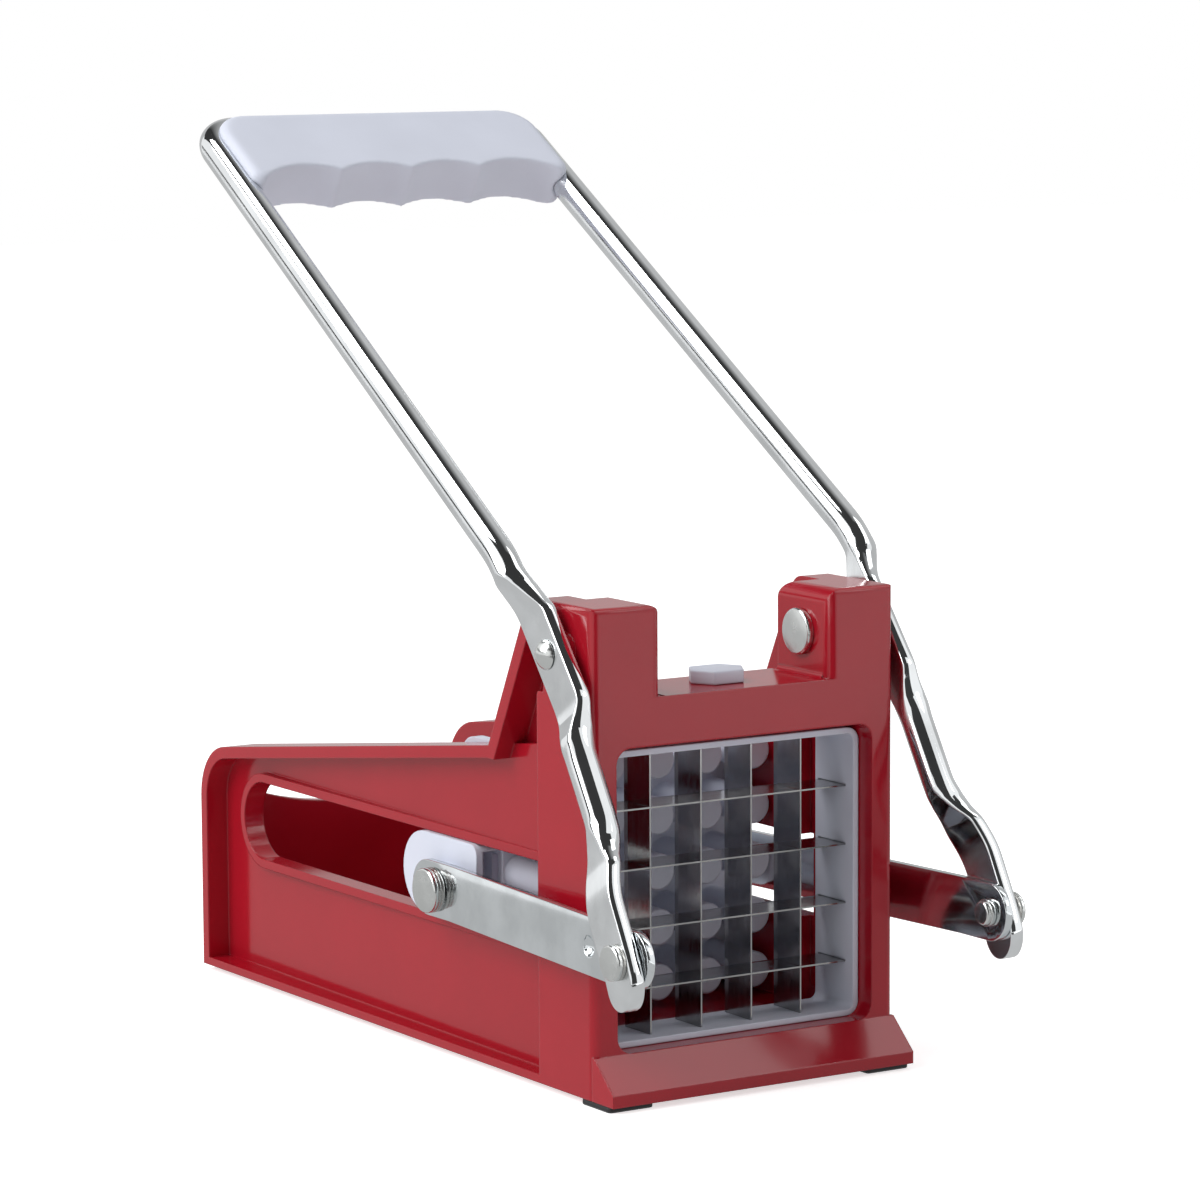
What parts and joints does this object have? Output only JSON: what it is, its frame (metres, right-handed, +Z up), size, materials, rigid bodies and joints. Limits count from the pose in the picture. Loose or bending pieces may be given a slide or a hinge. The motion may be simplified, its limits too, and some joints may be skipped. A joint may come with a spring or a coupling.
{
  "type": "lever french fry cutter",
  "caption": "Hand-operated french fry cutter: a U-shaped lever with a grip draws a pegged pusher along a moulded channel and through a square blade grid.",
  "frame": {"origin": "centre of the part's bounding box, at the underside of its feet, with the lever and the pusher as pictured", "axes": "+X to the right as seen from the front, +Y to the rear, away from the blade grid, +Z up"},
  "size_m": [0.1018, 0.2034, 0.2004],
  "materials": {
    "red_moulding": "glossy",
    "white_plastic": "satin",
    "foot_rubber": "matte",
    "blade_steel": "ground",
    "plated_rod": "bright plated",
    "link_steel": "zinc plated",
    "rivet_steel": "zinc plated",
    "washer_steel": "zinc plated"
  },
  "bodies": {
    "base": {"body": "red_moulding", "foot_front_left": "foot_rubber", "foot_front_right": "foot_rubber", "foot_rear_left": "foot_rubber", "foot_rear_right": "foot_rubber", "grid_frame": "white_plastic", "vertical_blade_1": "blade_steel", "vertical_blade_2": "blade_steel", "vertical_blade_3": "blade_steel", "vertical_blade_4": "blade_steel", "horizontal_blade_1": "blade_steel", "horizontal_blade_2": "blade_steel", "horizontal_blade_3": "blade_steel", "horizontal_blade_4": "blade_steel", "grid_lock": "white_plastic", "pivot_rivet_left": "rivet_steel", "pivot_rivet_right": "rivet_steel"},
    "lever": {"lever": "plated_rod", "grip": "white_plastic", "front_rivet_left": "rivet_steel", "front_rivet_right": "rivet_steel", "front_washer_left": "washer_steel", "front_washer_right": "washer_steel"},
    "pusher": {"pusher": "white_plastic", "rear_rivet_left": "rivet_steel", "rear_rivet_right": "rivet_steel", "rear_washer_outer_left": "washer_steel", "rear_washer_outer_right": "washer_steel", "rear_washer_inner_left": "washer_steel", "rear_washer_inner_right": "washer_steel"},
    "link_left": {"link_left": "link_steel", "front_rivet_tail_left": "rivet_steel"},
    "link_right": {"link_right": "link_steel", "front_rivet_tail_right": "rivet_steel"}
  },
  "joints": [
    {"name": "lever_turn", "type": "hinge", "parent": "base", "child": "lever", "pos_m": [0, -0.05939, 0.0937], "axis": [1, 0, 0], "range_deg": [-27, 66]},
    {"name": "pusher_slide", "type": "slide", "parent": "base", "child": "pusher", "axis": [0, 1, 0], "range_m": [-0.02837, 0.06932]},
    {"name": "link_left_turn", "type": "hinge", "parent": "pusher", "child": "link_left", "pos_m": [0, -0.00819, 0.0364], "axis": [1, 0, 0], "range_deg": [-4.1, 9.95]},
    {"name": "link_right_turn", "type": "hinge", "parent": "pusher", "child": "link_right", "pos_m": [0, -0.00819, 0.0364], "axis": [1, 0, 0], "range_deg": [-4.1, 9.95]}
  ],
  "couplings": [
    {"joint": "pusher_slide", "follows": "lever_turn", "m_per_rad": 0.060161},
    {"joint": "link_left_turn", "follows": "lever_turn", "ratio": 0.15},
    {"joint": "link_right_turn", "follows": "lever_turn", "ratio": 0.15}
  ]
}
